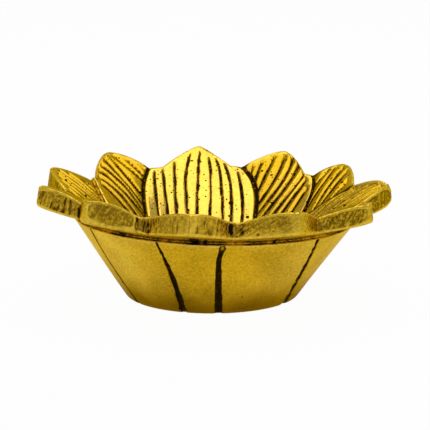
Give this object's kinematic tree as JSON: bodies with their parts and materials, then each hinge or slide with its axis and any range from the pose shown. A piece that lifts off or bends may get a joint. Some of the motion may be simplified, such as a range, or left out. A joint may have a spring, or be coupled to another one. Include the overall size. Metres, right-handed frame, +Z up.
{
  "type": "lotus diya",
  "caption": "Cast brass oil lamp shaped as an open lotus: ribbed pointed petals round a conical bowl with a plain round well and a flat foot.",
  "frame": {"origin": "centre of the flat foot, on the surface that the lamp stands on", "axes": "+Z up through the well, +Y towards the broad petal at the back, +X to the right seen from the front"},
  "size_m": [0.1009, 0.1037, 0.0352],
  "materials": {
    "brass": "cast and hand-polished to a satin shine, with filed petal edges and dark residue left in the grooves"
  },
  "bodies": {
    "root": {"lotus_bowl": "brass"}
  },
  "joints": []
}
